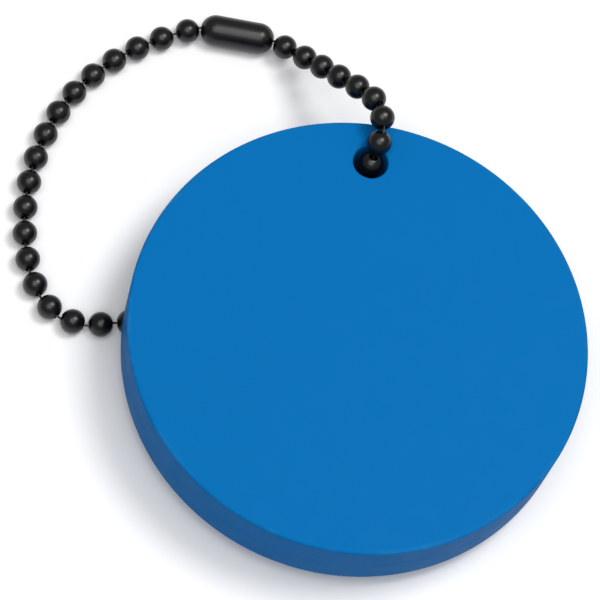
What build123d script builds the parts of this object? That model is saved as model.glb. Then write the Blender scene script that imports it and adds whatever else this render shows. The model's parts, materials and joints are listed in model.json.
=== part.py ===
from build123d import *
import math
import os

# A round contactless fare token on a closed loop of bead chain.
# The token is two moulded half shells, welded round the rim, with an antenna inlay sealed between
# them. The chain runs through the token's hole, under its rear face and round to a barrel
# connector. The balls are hollow, and each carries the dumbbell link that joins it to the next.
#
# Frame: millimetres, +Z out of the token's front face, +Y from its centre towards the hole.
# The origin is the centre of the label recess in the rear face.

# ---- token ----
TOKEN_R = 22.0
RECESS_R = 5.0
RECESS_DEPTH = 0.2
TOKEN_T = 7.0
REAR_Z = -RECESS_DEPTH
FRONT_Z = REAR_Z + TOKEN_T
SPLIT_Z = REAR_Z + TOKEN_T / 2
SIDE_WALL = 2.0
FACE_WALL = 1.6
RIM_ROUND = 0.35

HOLE_R = 1.7
HOLE_X = 1.7
HOLE_Y = 17.75
HOLE_BOSS_R = 3.3
HOLE_ROUND = 0.2
HOLE_COUNTERSINK = 1.7

TONGUE_R = TOKEN_R - SIDE_WALL / 2
TONGUE_W = 0.6
TONGUE_H = 0.5
TONGUE_PLAY = 0.05

# ---- antenna inlay ----
CARD_R = 14.0
CARD_T = 0.8
CARD_Z = 2.0
CARD_TOP = CARD_Z + CARD_T
SEAT_OUTER_R = 13.4
SEAT_INNER_R = 11.6
COIL_OUTER_R = 13.2
COIL_INNER_R = 10.2
COIL_T = 0.3
COIL_TURNS = 5
COIL_GROOVE = 0.12
CHIP_SIDE = 5.0
CHIP_T = 0.35
CHIP_CAP_SIDE = 3.4
CHIP_CAP_T = 0.2
LEAD_W = 0.5
LEAD_T = 0.15
PEG_RING_R = 7.0
PEG_R = 0.6
PEG_PLAY = 0.1
PEG_PROUD = 0.3
POST_R = 1.2
POST_GAP = 0.05

# ---- bead chain ----
BALL_R = 1.2
BALL_WALL = 0.12
BALL_HOLE_R = 0.34
NECK_R = 0.11
HEAD_R = 0.36
HEAD_DEPTH = 0.75
BALL_COUNT = 49
FIRST_PULLED_BALL = 44
PULLED_EXTRA = 0.3
FACE_CLEARANCE = 0.15
LOW_Z = REAR_Z - FACE_CLEARANCE - BALL_R

# ---- barrel connector ----
BARREL_R = 1.55
BARREL_BORE_R = 1.25
BARREL_SEAT = 2.2
BARREL_END = BARREL_SEAT + BARREL_R
BARREL_X = -9.9
BARREL_Y = 35.3
BARREL_Z = LOW_Z - BALL_R + BARREL_R
BARREL_TURN = -9.0
END_HOLE_R = 0.45
SEAM_W = 0.5
ENTRY_R = 1.3


def barrel_point(along):
    """A point on the connector's axis, measured from its middle."""
    turn = math.radians(BARREL_TURN)
    return Vector(
        BARREL_X + along * math.cos(turn),
        BARREL_Y + along * math.sin(turn),
        BARREL_Z,
    )


# The route that the balls' pivots follow, from the connector's left end, round the free loop,
# under the token, up through its hole, over its rim and down to the connector's right end.
ROUTE = [
    barrel_point(-BARREL_END),
    Vector(-16.2, 35.2, LOW_Z + 0.06),
    Vector(-19.6, 33.7, LOW_Z),
    Vector(-23.6, 31.0, LOW_Z),
    Vector(-27.3, 26.9, LOW_Z),
    Vector(-29.8, 21.8, LOW_Z),
    Vector(-31.0, 16.4, LOW_Z),
    Vector(-30.8, 10.0, LOW_Z),
    Vector(-29.4, 5.9, LOW_Z),
    Vector(-26.7, 3.5, LOW_Z),
    Vector(-22.6, 3.6, LOW_Z),
    Vector(-17.5, 3.6, LOW_Z),
    Vector(-12.6, 1.0, LOW_Z),
    Vector(-8.0, -3.2, LOW_Z),
    Vector(-2.5, -6.5, LOW_Z),
    Vector(3.6, -6.2, LOW_Z),
    Vector(8.2, -2.4, LOW_Z),
    Vector(9.9, 3.2, LOW_Z),
    Vector(9.0, 9.2, LOW_Z),
    Vector(6.2, 13.9, LOW_Z),
    Vector(4.4, 15.5, LOW_Z),
    Vector(2.7, 16.9, -0.8),
    Vector(HOLE_X + 0.05, HOLE_Y - 0.05, 1.6),
    Vector(HOLE_X, HOLE_Y, 4.3),
    Vector(1.85, 17.9, 6.2),
    Vector(2.15, 18.5, 7.8),
    Vector(2.6, 19.7, 8.95),
    Vector(2.8, 21.4, 9.25),
    Vector(2.3, 23.5, 8.5),
    Vector(-0.1, 27.0, 5.6),
    Vector(-2.75, 30.9, 1.95),
    Vector(-4.75, 33.4, -0.45),
    barrel_point(BARREL_END),
]

with BuildLine() as chain_line:
    Spline(*ROUTE)
route = chain_line.edge()


def pitch(ball, play):
    """Distance between a ball's two pivots."""
    extra = PULLED_EXTRA if ball >= FIRST_PULLED_BALL else 0.0
    return 2 * BALL_R + play + extra


def next_place(place, reach):
    """The place further along the route that is a straight distance, reach, away."""
    low = place
    high = place + 2 * reach / route.length
    here = route.position_at(place)
    for _ in range(24):
        middle = (low + high) / 2
        if (route.position_at(middle) - here).length < reach:
            low = middle
        else:
            high = middle
    return middle


def walk(play):
    """Places of the pivots along the route, for one amount of play in each joint."""
    places = [0.0]
    for ball in range(BALL_COUNT):
        places.append(next_place(places[-1], pitch(ball, play)))
        if places[-1] > 1:
            break
    return places


# The play that lets the chosen number of balls fill the route from end to end.
play_low = 0.0
play_high = 0.6
for _ in range(24):
    ball_play = (play_low + play_high) / 2
    if walk(ball_play)[-1] > 1:
        play_high = ball_play
    else:
        play_low = ball_play

pivots = [route.position_at(place) for place in walk(play_low)]
pivots[-1] = barrel_point(BARREL_END)
end_gap = 2 * (BARREL_R - BALL_R)

os.makedirs("parts", exist_ok=True)


def disc_sketch(radius):
    """Outline of a token half, with the hole left out."""
    Circle(radius)
    with Locations((HOLE_X, HOLE_Y)):
        Circle(HOLE_R, mode=Mode.SUBTRACT)


def cavity_sketch():
    """Outline of the space inside the shells, which leaves a boss round the hole."""
    Circle(TOKEN_R - SIDE_WALL)
    with Locations((HOLE_X, HOLE_Y)):
        Circle(HOLE_BOSS_R, mode=Mode.SUBTRACT)


# ---- rear half shell ----
with BuildPart() as rear_shell:
    with BuildSketch(Plane.XY.offset(REAR_Z)):
        disc_sketch(TOKEN_R)
    extrude(amount=SPLIT_Z - REAR_Z)
    rear_edges = rear_shell.faces().sort_by(Axis.Z)[0].edges().sort_by(SortBy.RADIUS)
    fillet(rear_edges[-1], RIM_ROUND)
    chamfer(rear_edges[0], HOLE_COUNTERSINK)
    with BuildSketch(Plane.XY.offset(REAR_Z)):
        Circle(RECESS_R)
    extrude(amount=RECESS_DEPTH, mode=Mode.SUBTRACT)
    with BuildSketch(Plane.XY.offset(REAR_Z + FACE_WALL)):
        cavity_sketch()
    extrude(amount=SPLIT_Z - REAR_Z - FACE_WALL, mode=Mode.SUBTRACT)
    with BuildSketch(Plane.XY.offset(SPLIT_Z)):
        Circle(TONGUE_R + TONGUE_W / 2)
        Circle(TONGUE_R - TONGUE_W / 2, mode=Mode.SUBTRACT)
    extrude(amount=TONGUE_H)
    with BuildSketch(Plane.XY.offset(REAR_Z + FACE_WALL)):
        Circle(SEAT_OUTER_R)
        Circle(SEAT_INNER_R, mode=Mode.SUBTRACT)
    extrude(amount=CARD_Z - REAR_Z - FACE_WALL)
    with BuildSketch(Plane.XY.offset(REAR_Z + FACE_WALL)):
        with PolarLocations(PEG_RING_R, 2, start_angle=90):
            Circle(PEG_R)
    extrude(amount=CARD_TOP + PEG_PROUD - REAR_Z - FACE_WALL)

rear_shell.part.label = "rear_shell"
export_step(rear_shell.part, "parts/rear_shell.step")

# ---- front half shell ----
with BuildPart() as front_shell:
    with BuildSketch(Plane.XY.offset(SPLIT_Z)):
        disc_sketch(TOKEN_R)
    extrude(amount=FRONT_Z - SPLIT_Z)
    front_edges = front_shell.faces().sort_by(Axis.Z)[-1].edges().sort_by(SortBy.RADIUS)
    fillet(front_edges[-1], RIM_ROUND)
    fillet(front_edges[0], HOLE_ROUND)
    with BuildSketch(Plane.XY.offset(SPLIT_Z)):
        cavity_sketch()
    extrude(amount=FRONT_Z - SPLIT_Z - FACE_WALL, mode=Mode.SUBTRACT)
    with BuildSketch(Plane.XY.offset(SPLIT_Z)):
        Circle(TONGUE_R + TONGUE_W / 2 + TONGUE_PLAY)
        Circle(TONGUE_R - TONGUE_W / 2 - TONGUE_PLAY, mode=Mode.SUBTRACT)
    extrude(amount=TONGUE_H + TONGUE_PLAY, mode=Mode.SUBTRACT)
    with BuildSketch(Plane.XY.offset(CARD_TOP + POST_GAP)):
        with PolarLocations(PEG_RING_R, 4, start_angle=45):
            Circle(POST_R)
    extrude(amount=FRONT_Z - FACE_WALL - CARD_TOP - POST_GAP)

front_shell.part.label = "front_shell"
export_step(front_shell.part, "parts/front_shell.step")

# ---- antenna inlay ----
with BuildPart() as inlay_card:
    with BuildSketch(Plane.XY.offset(CARD_Z)):
        Circle(CARD_R)
        with PolarLocations(PEG_RING_R, 2, start_angle=90):
            Circle(PEG_R + PEG_PLAY, mode=Mode.SUBTRACT)
    extrude(amount=CARD_T)

inlay_card.part.label = "inlay_card"
export_step(inlay_card.part, "parts/inlay_card.step")

turn_width = (COIL_OUTER_R - COIL_INNER_R) / COIL_TURNS
with BuildPart() as antenna_coil:
    with BuildSketch(Plane.XY.offset(CARD_TOP)):
        Circle(COIL_OUTER_R)
        Circle(COIL_INNER_R, mode=Mode.SUBTRACT)
    extrude(amount=COIL_T)
    with BuildSketch(Plane.XY.offset(CARD_TOP + COIL_T / 2)):
        for turn in range(1, COIL_TURNS):
            Circle(COIL_INNER_R + turn * turn_width + COIL_GROOVE / 2)
            Circle(COIL_INNER_R + turn * turn_width - COIL_GROOVE / 2, mode=Mode.SUBTRACT)
    extrude(amount=COIL_T / 2, mode=Mode.SUBTRACT)

antenna_coil.part.label = "antenna_coil"
export_step(antenna_coil.part, "parts/antenna_coil.step")

with BuildPart() as chip_module:
    with BuildSketch(Plane.XY.offset(CARD_TOP)):
        RectangleRounded(CHIP_SIDE, CHIP_SIDE, LEAD_W)
    extrude(amount=CHIP_T)
    with BuildSketch(Plane.XY.offset(CARD_TOP + CHIP_T)):
        RectangleRounded(CHIP_CAP_SIDE, CHIP_CAP_SIDE, LEAD_W)
    extrude(amount=CHIP_CAP_T)

chip_module.part.label = "chip_module"
export_step(chip_module.part, "parts/chip_module.step")

lead_length = COIL_INNER_R - CHIP_SIDE / 2 - 0.02
with BuildPart() as coil_leads:
    with BuildSketch(Plane.XY.offset(CARD_TOP)):
        with PolarLocations(CHIP_SIDE / 2 + lead_length / 2, 2):
            Rectangle(lead_length, LEAD_W)
    extrude(amount=LEAD_T)

coil_leads.part.label = "coil_leads"
export_step(coil_leads.part, "parts/coil_leads.step")


# ---- bead chain ----
def add_ball(centre, along):
    """A hollow ball with a hole at each end of its axis."""
    with Locations(Plane(origin=centre, z_dir=along).location):
        Sphere(BALL_R)
        Sphere(BALL_R - BALL_WALL, mode=Mode.SUBTRACT)
        Cylinder(BALL_HOLE_R, 3 * BALL_R, mode=Mode.SUBTRACT)


def add_link(pivot, along, reach_back, reach_on):
    """A dumbbell link: a thin neck through the pivot with a round head inside each ball."""
    with Locations(Plane(origin=pivot, z_dir=along).location):
        with Locations((0, 0, (reach_on - reach_back) / 2)):
            Cylinder(NECK_R, reach_on + reach_back)
        with Locations((0, 0, -reach_back), (0, 0, reach_on)):
            Sphere(HEAD_R)


seat_a = barrel_point(-BARREL_SEAT)
seat_b = barrel_point(BARREL_SEAT)
centres = [(start + end) / 2 for start, end in zip(pivots, pivots[1:])]
aims = [(end - start).normalized() for start, end in zip(pivots, pivots[1:])]
gaps = [pitch(ball, ball_play) - 2 * BALL_R for ball in range(BALL_COUNT)]

centres = [seat_a] + centres + [seat_b]
aims = [(pivots[0] - seat_a).normalized()] + aims + [(seat_b - pivots[-1]).normalized()]
gaps = [end_gap] + gaps + [end_gap]
names = ["captive_ball_a"]
names += [f"chain_ball_{ball + 1:02d}" for ball in range(BALL_COUNT)]
names += ["captive_ball_b"]

for place, name in enumerate(names):
    with BuildPart() as chain_ball:
        add_ball(centres[place], aims[place])
        if place <= BALL_COUNT:
            add_link(
                pivots[place],
                (aims[place] + aims[place + 1]).normalized(),
                HEAD_DEPTH + gaps[place] / 2,
                HEAD_DEPTH + gaps[place + 1] / 2,
            )
    chain_ball.part.label = name
    export_step(chain_ball.part, f"parts/{name}.step")

# ---- barrel connector ----
barrel_axis = barrel_point(1) - barrel_point(0)
barrel_plane = Plane(origin=barrel_point(0), x_dir=barrel_axis, z_dir=(0, 0, 1))
with BuildPart() as barrel_connector:
    with Locations(barrel_plane.location):
        Cylinder(BARREL_R, 2 * BARREL_SEAT, rotation=(0, 90, 0))
        with Locations((-BARREL_SEAT, 0, 0), (BARREL_SEAT, 0, 0)):
            Sphere(BARREL_R)
        Cylinder(BARREL_BORE_R, 2 * BARREL_SEAT, rotation=(0, 90, 0), mode=Mode.SUBTRACT)
        with Locations((-BARREL_SEAT, 0, 0), (BARREL_SEAT, 0, 0)):
            Sphere(BARREL_BORE_R, mode=Mode.SUBTRACT)
        Cylinder(END_HOLE_R, 3 * BARREL_END, rotation=(0, 90, 0), mode=Mode.SUBTRACT)
        with Locations((0, 0, -BARREL_R)):
            Box(3 * BARREL_END, SEAM_W, 2 * BARREL_R, mode=Mode.SUBTRACT)
            Cylinder(ENTRY_R, 2 * BARREL_R, mode=Mode.SUBTRACT)

barrel_connector.part.label = "barrel_connector"
export_step(barrel_connector.part, "parts/barrel_connector.step")
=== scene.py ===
import json
import math
import bmesh
import bpy
from mathutils import Matrix, Vector

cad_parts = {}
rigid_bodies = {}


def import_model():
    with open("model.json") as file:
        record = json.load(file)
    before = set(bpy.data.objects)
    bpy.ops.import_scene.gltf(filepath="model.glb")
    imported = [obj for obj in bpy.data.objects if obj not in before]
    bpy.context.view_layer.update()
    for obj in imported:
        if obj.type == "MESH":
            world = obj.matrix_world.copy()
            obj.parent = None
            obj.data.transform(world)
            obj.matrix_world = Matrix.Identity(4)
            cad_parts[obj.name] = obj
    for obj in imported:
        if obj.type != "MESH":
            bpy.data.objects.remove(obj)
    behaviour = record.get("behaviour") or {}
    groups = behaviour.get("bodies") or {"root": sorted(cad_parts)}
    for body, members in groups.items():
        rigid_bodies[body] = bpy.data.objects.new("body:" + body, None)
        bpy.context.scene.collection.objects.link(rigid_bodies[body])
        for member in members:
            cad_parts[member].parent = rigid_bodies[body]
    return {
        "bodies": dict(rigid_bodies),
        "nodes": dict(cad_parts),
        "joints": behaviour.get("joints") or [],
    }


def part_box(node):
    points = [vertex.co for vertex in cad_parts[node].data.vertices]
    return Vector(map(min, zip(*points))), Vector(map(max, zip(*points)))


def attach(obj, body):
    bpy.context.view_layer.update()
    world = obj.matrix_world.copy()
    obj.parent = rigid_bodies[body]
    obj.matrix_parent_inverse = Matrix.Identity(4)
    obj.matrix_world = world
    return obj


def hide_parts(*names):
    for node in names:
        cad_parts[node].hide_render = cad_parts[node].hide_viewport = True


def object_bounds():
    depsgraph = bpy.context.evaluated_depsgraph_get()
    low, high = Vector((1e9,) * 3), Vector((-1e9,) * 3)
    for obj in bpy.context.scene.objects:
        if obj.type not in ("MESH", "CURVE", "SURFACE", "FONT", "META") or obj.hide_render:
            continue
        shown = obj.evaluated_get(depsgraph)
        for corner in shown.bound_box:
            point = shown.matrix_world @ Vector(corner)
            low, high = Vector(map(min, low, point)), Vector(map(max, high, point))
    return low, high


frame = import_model()
cad_low, cad_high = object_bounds()

# A round fare token on a loop of bead chain, lying on a pale floor.
# Everything is in metres in the CAD frame: +Z out of the token's front face, +Y towards its hole.

MM = 0.001

# ---- token, as the CAD has it ----
shell_low, shell_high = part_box("rear_shell")
FRONT_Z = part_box("front_shell")[1].z
REAR_Z = shell_low.z
TOKEN_R = shell_high.x
SPLIT_Z = (FRONT_Z + REAR_Z) / 2
SIDE_WALL = 2.0 * MM
FACE_WALL = 1.6 * MM
RIM_ROUND = 0.35 * MM
HOLE_X = 1.7 * MM
HOLE_Y = 17.75 * MM
HOLE_R = 1.7 * MM
HOLE_BOSS_R = 3.3 * MM
HOLE_ROUND = 0.2 * MM
COUNTERSINK = 1.7 * MM
COUNTERSINK_BLEND = 0.08 * MM
COUNTERSINK_LIP = 0.03 * MM
COUNTERSINK_FOOT = 0.06 * MM
RECESS_R = 5.0 * MM
RECESS_ROUND = 0.12 * MM
SEAM_W = 0.09 * MM
SEAM_DEPTH = 0.06 * MM
FACE_EDGE = 1.3
POST_R = 1.2 * MM
POST_RING_R = 7.0 * MM
POST_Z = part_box("inlay_card")[1].z + 0.05 * MM
PEG_R = 0.6 * MM
PEG_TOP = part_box("inlay_card")[1].z + 0.3 * MM
SEAT_OUTER_R = 13.4 * MM
SEAT_INNER_R = 11.6 * MM
SEAT_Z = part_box("inlay_card")[0].z

# ---- chain, as the CAD has it ----
BALL_R = 1.2 * MM
BALL_WALL = 0.12 * MM
BALL_HOLE_R = 0.34 * MM
NECK_R = 0.11 * MM
HEAD_R = 0.36 * MM
HEAD_DEPTH = 0.75 * MM
NECK_BLEND = 0.09 * MM
BARREL_R = 1.55 * MM
BARREL_BORE_R = 1.25 * MM
BARREL_SEAT = 2.2 * MM
BARREL_END = BARREL_SEAT + BARREL_R
BARREL_SLOT = 0.5 * MM
BARREL_ENTRY_R = 1.3 * MM
BARREL_EDGE = 0.05 * MM
SLOT_FROM = 0.2 * MM
ENTRY_FROM = 0.3 * MM
CUT_REACH = 3.0 * MM
END_HOLE_R = 0.45 * MM

# ---- mesh density ----
ROUND = 256
SMALL_ROUND = 96
BALL_AROUND = 72
BALL_RINGS = 36


# ================================================================ helpers
def circle(radius, z, count, centre=(0.0, 0.0)):
    """Points of a level circle, anticlockwise seen from above."""
    turn = 2 * math.pi / count
    return [
        Vector((centre[0] + radius * math.cos(k * turn), centre[1] + radius * math.sin(k * turn), z))
        for k in range(count)
    ]


def add_loop(bm, points):
    return [bm.verts.new(p) for p in points]


def wall(bm, lower, upper):
    """A closed band of quads between two loops of equal length."""
    count = len(lower)
    for k in range(count):
        n = (k + 1) % count
        bm.faces.new((lower[k], lower[n], upper[n], upper[k]))


def band(bm, loops):
    for lower, upper in zip(loops, loops[1:]):
        wall(bm, lower, upper)


def fill(bm, *loops):
    """A flat region inside the first loop, with the other loops as its holes."""
    edges = []
    for loop in loops:
        for k, vert in enumerate(loop):
            other = loop[(k + 1) % len(loop)]
            edges.append(bm.edges.get((vert, other)) or bm.edges.new((vert, other)))
    bmesh.ops.triangle_fill(bm, edges=edges, use_beauty=True)


def finish_mesh(bm, name, smooth_deg=35.0):
    """Turns bm into an object with outward normals, smooth except over sharp edges."""
    bmesh.ops.recalc_face_normals(bm, faces=bm.faces[:])
    mesh = bpy.data.meshes.new(name)
    bm.to_mesh(mesh)
    bm.free()
    mesh.polygons.foreach_set("use_smooth", [True] * len(mesh.polygons))
    mesh.set_sharp_from_angle(angle=math.radians(smooth_deg))
    obj = bpy.data.objects.new(name, mesh)
    bpy.context.scene.collection.objects.link(obj)
    return obj


def aim(origin, along):
    """A placement at origin whose Z runs along the given direction."""
    return Matrix.Translation(origin) @ along.to_track_quat("Z", "Y").to_matrix().to_4x4()


def quarter(start_angle, end_angle, steps):
    """Angles from start to end, both included."""
    return [start_angle + (end_angle - start_angle) * k / steps for k in range(steps + 1)]


# ================================================================ materials
def new_material(name):
    material = bpy.data.materials.new(name)
    material.use_nodes = True
    nodes = material.node_tree.nodes
    shader = nodes["Principled BSDF"]
    return material, nodes, material.node_tree.links, shader


def noise(nodes, links, coords, scale, detail=3.0, roughness=0.5, distortion=0.0):
    node = nodes.new("ShaderNodeTexNoise")
    node.inputs["Scale"].default_value = scale
    node.inputs["Detail"].default_value = detail
    node.inputs["Roughness"].default_value = roughness
    node.inputs["Distortion"].default_value = distortion
    links.new(coords.outputs["Object"], node.inputs["Vector"])
    return node


def remap(nodes, links, source, low, high, to_low, to_high):
    node = nodes.new("ShaderNodeMapRange")
    node.inputs["From Min"].default_value = low
    node.inputs["From Max"].default_value = high
    node.inputs["To Min"].default_value = to_low
    node.inputs["To Max"].default_value = to_high
    links.new(source, node.inputs["Value"])
    return node


def mix_colour(nodes, links, factor, first, second):
    node = nodes.new("ShaderNodeMix")
    node.data_type = "RGBA"
    links.new(factor, node.inputs["Factor"])
    for socket, value in ((6, first), (7, second)):
        if isinstance(value, tuple):
            node.inputs[socket].default_value = (*value, 1.0)
        else:
            links.new(value, node.inputs[socket])
    return node


def add_bump(nodes, links, height, strength, distance, after=None):
    node = nodes.new("ShaderNodeBump")
    node.inputs["Strength"].default_value = strength
    node.inputs["Distance"].default_value = distance
    links.new(height, node.inputs["Height"])
    if after is not None:
        links.new(after.outputs["Normal"], node.inputs["Normal"])
    return node


def maths(nodes, links, operation, *values):
    node = nodes.new("ShaderNodeMath")
    node.operation = operation
    for socket, value in zip(node.inputs, values):
        if isinstance(value, (int, float)):
            socket.default_value = value
        else:
            links.new(value, socket)
    return node


def separate(nodes, links, source):
    parts = nodes.new("ShaderNodeSeparateXYZ")
    links.new(source, parts.inputs["Vector"])
    return parts


def rim_nearness(nodes, links, parts, inset, full):
    """0 further in from the outer wall than inset, rising to 1 at full."""
    flat = nodes.new("ShaderNodeCombineXYZ")
    links.new(parts.outputs["X"], flat.inputs["X"])
    links.new(parts.outputs["Y"], flat.inputs["Y"])
    radius = nodes.new("ShaderNodeVectorMath")
    radius.operation = "LENGTH"
    links.new(flat.outputs["Vector"], radius.inputs[0])
    return remap(nodes, links, radius.outputs["Value"], TOKEN_R - inset, TOKEN_R - full, 0.0, 1.0)


def rim_wear(nodes, links, coords):
    """How rubbed a place is: along the two rims, broken up by noise, and 0 elsewhere."""
    parts = separate(nodes, links, coords.outputs["Object"])
    near_wall = rim_nearness(nodes, links, parts, 0.45 * MM, 0.1 * MM)
    height = maths(nodes, links, "SUBTRACT", parts.outputs["Z"], SPLIT_Z)
    away = maths(nodes, links, "ABSOLUTE", height.outputs[0])
    half = (FRONT_Z - REAR_Z) / 2
    near_face = remap(nodes, links, away.outputs[0], half - 0.45 * MM, half - 0.1 * MM, 0.0, 1.0)
    both = maths(nodes, links, "MULTIPLY", near_wall.outputs["Result"], near_face.outputs["Result"])
    patch = noise(nodes, links, coords, 260.0, 5.0, 0.65)
    broken = remap(nodes, links, patch.outputs["Fac"], 0.45, 0.70, 0.0, 0.6)
    return maths(nodes, links, "MULTIPLY", both.outputs[0], broken.outputs["Result"])


def painted_side_shade_mask(nodes, links, coords):
    """Mask of the painted shade: 1 on the upright outer wall of the token, 0 on its faces and in its hole.
    """
    parts = separate(nodes, links, coords.outputs["Object"])
    near_wall = rim_nearness(nodes, links, parts, 0.6 * MM, 0.4 * MM)
    facing = separate(nodes, links, coords.outputs["Normal"])
    level = maths(nodes, links, "ABSOLUTE", facing.outputs["Z"])
    upright = remap(nodes, links, level.outputs[0], 0.3, 0.8, 1.0, 0.0)
    return maths(nodes, links, "MULTIPLY", near_wall.outputs["Result"], upright.outputs["Result"])


def token_plastic():
    """Blue moulded plastic with a fine spark-eroded grain, faint flow and rubbed edges; the upright side
    wall carries painted shade, a darker blue.
    """
    material, nodes, links, shader = new_material("token_plastic")
    coords = nodes.new("ShaderNodeTexCoord")
    grain = noise(nodes, links, coords, 9000.0, 2.0, 0.6)
    flow = noise(nodes, links, coords, 90.0, 4.0, 0.55, 0.6)
    cloud = noise(nodes, links, coords, 420.0, 3.0, 0.5)
    edge = rim_wear(nodes, links, coords)
    base = mix_colour(nodes, links, flow.outputs["Fac"], (0.0, 0.137, 0.402), (0.0, 0.141, 0.410))
    # Painted shade: the upright side wall is mixed to a darker blue (0.0, 0.104, 0.315) that stands in for
    # its shading.
    painted_shade_share = painted_side_shade_mask(nodes, links, coords)
    painted_shade_tone = mix_colour(nodes, links, painted_shade_share.outputs[0], base.outputs[2], (0.0, 0.104, 0.315))
    worn = mix_colour(nodes, links, edge.outputs[0], painted_shade_tone.outputs[2], (0.02, 0.20, 0.50))
    links.new(worn.outputs[2], shader.inputs["Base Color"])
    rough = remap(nodes, links, cloud.outputs["Fac"], 0.3, 0.7, 0.50, 0.58)
    links.new(rough.outputs["Result"], shader.inputs["Roughness"])
    fine = add_bump(nodes, links, grain.outputs["Fac"], 0.12, 0.00003)
    broad = add_bump(nodes, links, flow.outputs["Fac"], 0.015, 0.0001, fine)
    links.new(broad.outputs["Normal"], shader.inputs["Normal"])
    shader.inputs["IOR"].default_value = 1.49
    shader.inputs["Specular IOR Level"].default_value = 0.04
    return material


def black_coat(name, low, high, scratch):
    """Black lacquer over metal: glossy, very slightly uneven, with faint rub marks."""
    material, nodes, links, shader = new_material(name)
    coords = nodes.new("ShaderNodeTexCoord")
    cloud = noise(nodes, links, coords, 900.0, 3.0, 0.5)
    peel = noise(nodes, links, coords, 3200.0, 2.0, 0.5)
    base = mix_colour(nodes, links, cloud.outputs["Fac"], (0.0012, 0.0012, 0.0013), (0.0028, 0.0028, 0.0030))
    links.new(base.outputs[2], shader.inputs["Base Color"])
    rough = remap(nodes, links, cloud.outputs["Fac"], 0.3, 0.7, low, high)
    links.new(rough.outputs["Result"], shader.inputs["Roughness"])
    skin = add_bump(nodes, links, peel.outputs["Fac"], scratch, 0.00002)
    links.new(skin.outputs["Normal"], shader.inputs["Normal"])
    shader.inputs["IOR"].default_value = 1.5
    shader.inputs["Specular IOR Level"].default_value = 0.44
    return material


def hidden_material(name, colour, second, metallic, roughness, scale):
    """Finish for the sealed inner pieces."""
    material, nodes, links, shader = new_material(name)
    coords = nodes.new("ShaderNodeTexCoord")
    cloud = noise(nodes, links, coords, scale)
    base = mix_colour(nodes, links, cloud.outputs["Fac"], colour, second)
    links.new(base.outputs[2], shader.inputs["Base Color"])
    shader.inputs["Metallic"].default_value = metallic
    shader.inputs["Roughness"].default_value = roughness
    return material


def floor_material():
    """Plain pale studio floor."""
    material, nodes, links, shader = new_material("studio_floor")
    coords = nodes.new("ShaderNodeTexCoord")
    cloud = noise(nodes, links, coords, 6.0)
    base = mix_colour(nodes, links, cloud.outputs["Fac"], (0.92, 0.92, 0.92), (0.94, 0.94, 0.94))
    links.new(base.outputs[2], shader.inputs["Base Color"])
    shader.inputs["Roughness"].default_value = 0.9
    shader.inputs["Specular IOR Level"].default_value = 0.1
    return material


BLUE = token_plastic()
BALL_BLACK = black_coat("ball_black", 0.27, 0.32, 0.02)
BARREL_BLACK = black_coat("barrel_black", 0.30, 0.35, 0.03)
BOARD = hidden_material("inlay_board", (0.60, 0.53, 0.33), (0.66, 0.58, 0.38), 0.0, 0.7, 500.0)
COPPER = hidden_material("coil_copper", (0.75, 0.36, 0.20), (0.68, 0.30, 0.16), 1.0, 0.32, 2500.0)
RESIN = hidden_material("chip_resin", (0.015, 0.015, 0.016), (0.03, 0.03, 0.03), 0.0, 0.4, 1500.0)


# ================================================================ token
def cavity_loop(z):
    """Outline of the space inside the shells: a round wall with a boss round the hole."""
    wall_r = TOKEN_R - SIDE_WALL
    hole_away = math.hypot(HOLE_X, HOLE_Y)
    hole_turn = math.atan2(HOLE_Y, HOLE_X)
    half = math.acos((wall_r**2 + hole_away**2 - HOLE_BOSS_R**2) / (2 * wall_r * hole_away))
    long_way = quarter(hole_turn + half, hole_turn - half + 2 * math.pi, ROUND)
    points = [Vector((wall_r * math.cos(a), wall_r * math.sin(a), z)) for a in long_way]
    end = points[-1] - Vector((HOLE_X, HOLE_Y, z))
    start = points[0] - Vector((HOLE_X, HOLE_Y, z))
    end_turn = math.atan2(end.y, end.x)
    start_turn = math.atan2(start.y, start.x)
    while end_turn > start_turn:
        end_turn -= 2 * math.pi
    back = quarter(end_turn + 2 * math.pi, start_turn, SMALL_ROUND // 2)[1:-1]
    points += [
        Vector((HOLE_X + HOLE_BOSS_R * math.cos(a), HOLE_Y + HOLE_BOSS_R * math.sin(a), z)) for a in back
    ]
    return points


def hole_circle(radius, z):
    return circle(radius, z, SMALL_ROUND, (HOLE_X, HOLE_Y))


def rim_loops(bm, face_z, inward):
    """The outer wall from the parting line to the face, with the rounded rim. inward is the
    direction from the face into the plastic: -1 for the front half, +1 for the rear half."""
    loops = []
    loops.append(add_loop(bm, circle(TOKEN_R - SEAM_DEPTH, SPLIT_Z, ROUND)))
    lip = SPLIT_Z - inward * SEAM_W / 2
    loops.append(add_loop(bm, circle(TOKEN_R, lip, ROUND)))
    loops.append(add_loop(bm, circle(TOKEN_R, lip - inward * SEAM_W, ROUND)))
    for a in quarter(0.0, math.pi / 2, 8):
        radius = TOKEN_R - RIM_ROUND + RIM_ROUND * math.cos(a)
        z = face_z + inward * RIM_ROUND * (1 - math.sin(a))
        loops.append(add_loop(bm, circle(radius, z, ROUND)))
    loops.append(add_loop(bm, circle(TOKEN_R - FACE_EDGE * RIM_ROUND, face_z, ROUND)))
    return loops


def posts(bm, radius, ring_r, count, start, from_z, to_z):
    """Round posts standing on a flat face at from_z. Returns their foot loops, for the fill."""
    feet = []
    for k in range(count):
        a = start + 2 * math.pi * k / count
        centre = (ring_r * math.cos(a), ring_r * math.sin(a))
        foot = add_loop(bm, circle(radius, from_z, SMALL_ROUND // 2, centre))
        top = add_loop(bm, circle(radius, to_z, SMALL_ROUND // 2, centre))
        wall(bm, foot, top)
        fill(bm, top)
        feet.append(foot)
    return feet


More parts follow.
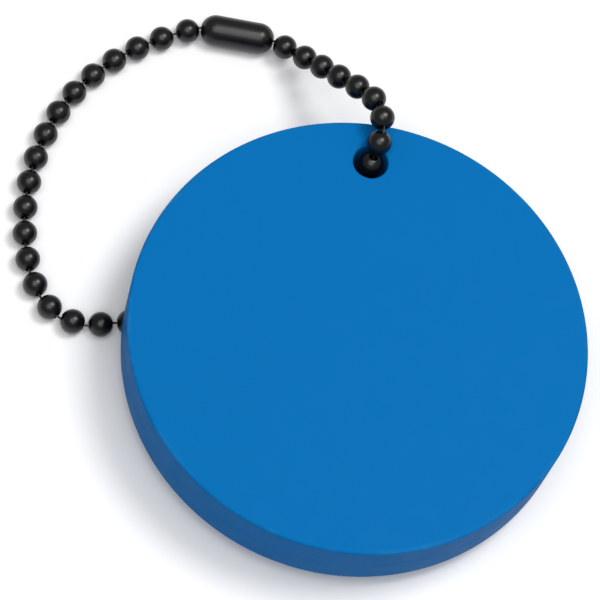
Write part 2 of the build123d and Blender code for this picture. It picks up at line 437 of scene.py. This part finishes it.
def front_half():
    bm = bmesh.new()
    rim = rim_loops(bm, FRONT_Z, -1)
    band(bm, rim)
    bore = []
    for a in quarter(math.pi / 2, 0.0, 6):
        radius = HOLE_R + HOLE_ROUND * (1 - math.cos(a))
        z = FRONT_Z - HOLE_ROUND * (1 - math.sin(a))
        bore.append(add_loop(bm, hole_circle(radius, z)))
    bore.insert(0, add_loop(bm, hole_circle(HOLE_R + FACE_EDGE * HOLE_ROUND, FRONT_Z)))
    bore.append(add_loop(bm, hole_circle(HOLE_R, SPLIT_Z)))
    band(bm, bore)
    fill(bm, rim[-1], bore[0])
    mouth = add_loop(bm, cavity_loop(SPLIT_Z))
    ceiling = add_loop(bm, cavity_loop(FRONT_Z - FACE_WALL))
    wall(bm, mouth, ceiling)
    fill(bm, rim[0], mouth, bore[-1])
    feet = posts(bm, POST_R, POST_RING_R, 4, math.pi / 4, FRONT_Z - FACE_WALL, POST_Z)
    fill(bm, ceiling, *feet)
    return finish_mesh(bm, "token_front_half")


def rear_half():
    bm = bmesh.new()
    rim = rim_loops(bm, REAR_Z, 1)
    band(bm, rim)
    bore = [
        add_loop(bm, hole_circle(HOLE_R + COUNTERSINK + COUNTERSINK_BLEND, REAR_Z)),
        add_loop(bm, hole_circle(HOLE_R + COUNTERSINK, REAR_Z + COUNTERSINK_LIP)),
        add_loop(bm, hole_circle(HOLE_R + COUNTERSINK_FOOT, REAR_Z + COUNTERSINK)),
        add_loop(bm, hole_circle(HOLE_R, REAR_Z + COUNTERSINK + COUNTERSINK_BLEND)),
        add_loop(bm, hole_circle(HOLE_R, SPLIT_Z)),
    ]
    band(bm, bore)
    recess = [
        add_loop(bm, circle(RECESS_R + RECESS_ROUND, REAR_Z, ROUND)),
        add_loop(bm, circle(RECESS_R + 0.3 * RECESS_ROUND, REAR_Z + 0.3 * RECESS_ROUND, ROUND)),
        add_loop(bm, circle(RECESS_R, REAR_Z + RECESS_ROUND, ROUND)),
        add_loop(bm, circle(RECESS_R, 0.0, ROUND)),
    ]
    band(bm, recess)
    fill(bm, recess[-1])
    fill(bm, rim[-1], bore[0], recess[0])
    mouth = add_loop(bm, cavity_loop(SPLIT_Z))
    floor = add_loop(bm, cavity_loop(REAR_Z + FACE_WALL))
    wall(bm, mouth, floor)
    fill(bm, rim[0], mouth, bore[-1])
    pegs = posts(bm, PEG_R, POST_RING_R, 2, math.pi / 2, REAR_Z + FACE_WALL, PEG_TOP)
    seat_out = [add_loop(bm, circle(SEAT_OUTER_R, z, ROUND)) for z in (REAR_Z + FACE_WALL, SEAT_Z)]
    seat_in = [add_loop(bm, circle(SEAT_INNER_R, z, ROUND)) for z in (REAR_Z + FACE_WALL, SEAT_Z)]
    band(bm, seat_out)
    band(bm, seat_in)
    fill(bm, seat_out[1], seat_in[1])
    fill(bm, floor, seat_out[0])
    fill(bm, seat_in[0], *pegs)
    return finish_mesh(bm, "token_rear_half")


def place(obj, body, node, material):
    obj.data.materials.clear()
    obj.data.materials.append(material)
    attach(obj, body)
    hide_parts(node)


for build, node in ((front_half, "front_shell"), (rear_half, "rear_shell")):
    place(build(), "token", node, BLUE)

for node, material in (
    ("inlay_card", BOARD),
    ("antenna_coil", COPPER),
    ("coil_leads", COPPER),
    ("chip_module", RESIN),
):
    inner = frame["nodes"][node]
    inner.data.materials.clear()
    inner.data.materials.append(material)


# ================================================================ chain
def revolve(bm, profile, count, placement):
    """A closed surface of revolution about Z. profile is (radius, height) pairs; a radius of 0
    at either end closes it there."""
    rings = []
    for radius, height in profile:
        if radius == 0:
            rings.append([bm.verts.new(placement @ Vector((0, 0, height)))])
        else:
            rings.append(add_loop(bm, [placement @ p for p in circle(radius, height, count)]))
    for lower, upper in zip(rings, rings[1:]):
        if len(lower) == 1:
            for k in range(count):
                bm.faces.new((lower[0], upper[(k + 1) % count], upper[k]))
        elif len(upper) == 1:
            for k in range(count):
                bm.faces.new((lower[k], lower[(k + 1) % count], upper[0]))
        else:
            wall(bm, lower, upper)
    return rings


def ball_profile():
    """Outer skin from one hole to the other, then the inner skin back, with rounded hole lips."""
    inner_r = BALL_R - BALL_WALL
    lip = BALL_WALL / 2
    outer_start = math.asin((BALL_HOLE_R + lip) / BALL_R)
    inner_start = math.asin((BALL_HOLE_R + lip) / inner_r)
    outer = [
        (BALL_R * math.sin(a), -BALL_R * math.cos(a))
        for a in quarter(outer_start, math.pi - outer_start, BALL_RINGS)
    ]
    inner = [
        (inner_r * math.sin(a), inner_r * math.cos(a))
        for a in quarter(inner_start, math.pi - inner_start, BALL_RINGS // 2)
    ]
    middle_z = (outer[-1][1] + inner[0][1]) / 2
    lip_r = (outer[-1][1] - inner[0][1]) / 2
    top = [
        (BALL_HOLE_R + lip - lip * math.sin(a), middle_z + lip_r * math.cos(a))
        for a in quarter(0.0, math.pi, 6)[1:-1]
    ]
    bottom = [(r, -z) for r, z in reversed(top)]
    return outer + top + inner + bottom


def link_profile(back, on):
    """A dumbbell from one head to the other, with fillets where the neck meets the heads."""
    start = math.asin(1.6 * NECK_R / HEAD_R)
    head_back = [
        (HEAD_R * math.sin(a), -back - HEAD_R * math.cos(a)) for a in quarter(0.0, math.pi - start, 12)
    ]
    head_back[0] = (0, -back - HEAD_R)
    head_on = [
        (HEAD_R * math.sin(a), on - HEAD_R * math.cos(a)) for a in quarter(start, math.pi, 12)
    ]
    head_on[-1] = (0, on + HEAD_R)
    neck_low = head_back[-1][1] + NECK_BLEND
    neck_high = head_on[0][1] - NECK_BLEND
    neck = [(NECK_R, neck_low), (NECK_R, (neck_low + neck_high) / 2), (NECK_R, neck_high)]
    return head_back + neck + head_on


# The seam of the rolled strip shows as a fine groove from hole to hole on each ball.
SEAM_SINK = 0.018 * MM
SEAM_START_DEG = 200
SEAM_STEP_DEG = 31
WELD = 1e-9


def add_ball(bm, centre, along, seam_turn):
    placement = aim(centre, along) @ Matrix.Rotation(seam_turn, 4, "Z")
    profile = ball_profile()
    rings = revolve(bm, profile + [profile[0]], BALL_AROUND, placement)
    for ring in rings[: BALL_RINGS + 1]:
        ring[0].co += (centre - ring[0].co).normalized() * SEAM_SINK
    bmesh.ops.remove_doubles(bm, verts=bm.verts[:], dist=WELD)


joint_of = {frozenset((joint["parent"], joint["child"])): joint for joint in frame["joints"]}
chain_names = sorted(n for n in frame["bodies"] if n.startswith("chain_ball_"))
chain_names = ["captive_ball_a"] + chain_names + ["captive_ball_b"]
spin = joint_of[frozenset(("captive_ball_b", "barrel_connector"))]
barrel_centre = Vector(spin["pos_m"])
barrel_along = Vector(spin["axis"]).normalized()
pivots = [
    Vector(joint_of[frozenset(pair)]["pos_m"]) for pair in zip(chain_names, chain_names[1:])
]
seats = [barrel_centre - barrel_along * BARREL_SEAT, barrel_centre + barrel_along * BARREL_SEAT]
marks = [2 * seats[0] - pivots[0]] + pivots + [2 * seats[1] - pivots[-1]]

for number, name in enumerate(chain_names):
    before, after = marks[number], marks[number + 1]
    bm = bmesh.new()
    along = (after - before).normalized()
    add_ball(bm, (before + after) / 2, along, math.radians(SEAM_START_DEG + SEAM_STEP_DEG * number))
    if number + 1 < len(chain_names):
        following = (marks[number + 2] - after).normalized()
        back = HEAD_DEPTH + (after - before).length / 2 - BALL_R
        on = HEAD_DEPTH + (marks[number + 2] - after).length / 2 - BALL_R
        revolve(bm, link_profile(back, on), 24, aim(after, (along + following).normalized()))
    piece = finish_mesh(bm, "bead_" + name, 50.0)
    place(piece, name, name, BALL_BLACK)


# ================================================================ barrel connector
def capsule_profile(radius, half):
    cap = [(radius * math.sin(a), -half - radius * math.cos(a)) for a in quarter(0.0, math.pi / 2, 24)]
    cap[0] = (0, -half - radius)
    return cap + [(r, -z) for r, z in reversed(cap)]


def turned(profile, count, name, placement):
    """A solid of revolution as an object of its own."""
    bm = bmesh.new()
    revolve(bm, profile, count, placement)
    return finish_mesh(bm, name)


def slot_box():
    """The open seam's gap: it runs the whole length, on the +X side."""
    bm = bmesh.new()
    made = bmesh.ops.create_cube(bm, size=1.0)
    for vert in made["verts"]:
        vert.co.x = SLOT_FROM + (vert.co.x + 0.5) * CUT_REACH
        vert.co.y *= BARREL_SLOT
        vert.co.z *= 3 * BARREL_END
    return finish_mesh(bm, "slot")


def cut(obj, tool):
    """Takes the tool's solid away from the object, and removes the tool."""
    modifier = obj.modifiers.new("cut", "BOOLEAN")
    modifier.object = tool
    modifier.operation = "DIFFERENCE"
    modifier.solver = "EXACT"
    with bpy.context.temp_override(object=obj, active_object=obj):
        bpy.ops.object.modifier_apply(modifier=modifier.name)
    bpy.data.objects.remove(tool)


def barrel():
    """A rolled tube with round ends, open along a seam underneath, with the window that the
    balls go in by. It is made along Z with the seam towards +X, and then laid in place."""
    here = Matrix.Identity(4)
    body = turned(capsule_profile(BARREL_R, BARREL_SEAT), SMALL_ROUND, "barrel_piece", here)
    cut(body, turned(capsule_profile(BARREL_BORE_R, BARREL_SEAT), SMALL_ROUND, "bore", here))
    far = 2 * BARREL_END
    rod = [(0, -far), (END_HOLE_R, -far), (END_HOLE_R, far), (0, far)]
    cut(body, turned(rod, 48, "end_holes", here))
    window = [(0, ENTRY_FROM), (BARREL_ENTRY_R, ENTRY_FROM), (BARREL_ENTRY_R, CUT_REACH), (0, CUT_REACH)]
    sideways = Matrix.Rotation(math.pi / 2, 4, "Y")
    cut(body, turned(window, 64, "window", sideways))
    cut(body, slot_box())
    bevel = body.modifiers.new("edges", "BEVEL")
    bevel.width = BARREL_EDGE
    bevel.segments = 3
    bevel.limit_method = "ANGLE"
    bevel.angle_limit = math.radians(40)
    with bpy.context.temp_override(object=body, active_object=body):
        bpy.ops.object.modifier_apply(modifier="edges")
    body.data.polygons.foreach_set("use_smooth", [True] * len(body.data.polygons))
    body.data.set_sharp_from_angle(angle=math.radians(35))
    down = Vector((0, 0, -1))
    across = barrel_along.cross(down).normalized()
    down = across.cross(barrel_along).normalized()
    turn = Matrix((down, across, barrel_along)).transposed().to_4x4()
    body.data.transform(Matrix.Translation(barrel_centre) @ turn)
    return body


place(barrel(), "barrel_connector", "barrel_connector", BARREL_BLACK)

# ================================================================ studio
floor_z = cad_low[2]
FLOOR_SIDE = 1.6
floor_bm = bmesh.new()
bmesh.ops.create_grid(floor_bm, x_segments=8, y_segments=8, size=FLOOR_SIDE / 2)
floor = finish_mesh(floor_bm, "studio_floor")
floor.location = (0, 0, floor_z)
floor.data.materials.append(floor_material())

# The camera looks down on the front face, tilted so that the side wall shows at the lower left.
TILT = math.radians(24.5)
LEAN_X = 0.346
LEAN_Y = 0.938
TILT_TURN = math.atan2(LEAN_Y, LEAN_X)
LENS = 180.0
SENSOR = 36.0
VIEW_WIDTH = 57.7 * MM
AIM = Vector((-4.8, 5.3, 1.5)) * MM
lean = Vector((math.cos(TILT_TURN), math.sin(TILT_TURN), 0))
side = Vector((math.sin(TILT_TURN), -math.cos(TILT_TURN), 0))
up_lean = lean * math.cos(TILT) + Vector((0, 0, math.sin(TILT)))
to_camera = Vector((0, 0, math.cos(TILT))) - lean * math.sin(TILT)
right = math.cos(TILT_TURN) * up_lean + math.sin(TILT_TURN) * side
up = math.sin(TILT_TURN) * up_lean - math.cos(TILT_TURN) * side
camera_data = bpy.data.cameras.new("camera")
camera_data.lens = LENS
camera_data.sensor_width = SENSOR
camera_data.clip_start = 0.01
camera = bpy.data.objects.new("camera", camera_data)
distance = VIEW_WIDTH * LENS / SENSOR
camera.matrix_world = Matrix.Translation(AIM + to_camera * distance) @ Matrix(
    (right, up, to_camera)
).transposed().to_4x4()
bpy.context.scene.collection.objects.link(camera)
bpy.context.scene.camera = camera


def area_light(name, place_at, size, power):
    """A disk light that faces the origin."""
    data = bpy.data.lights.new(name, "AREA")
    data.shape = "DISK"
    data.size = size
    data.energy = power
    light = bpy.data.objects.new(name, data)
    light.matrix_world = aim(place_at, place_at)
    bpy.context.scene.collection.objects.link(light)


area_light("key", Vector((0.165, 0.055, 0.47)), 0.19, 1.15)
area_light("top", Vector((-0.08, -0.21, 0.78)), 0.70, 3.5)

world = bpy.data.worlds.new("studio")
bpy.context.scene.world = world
world.use_nodes = True
world.node_tree.nodes["Background"].inputs["Color"].default_value = (1, 1, 1, 1)
world.node_tree.nodes["Background"].inputs["Strength"].default_value = 0.34
bpy.context.scene.view_settings.view_transform = "Standard"
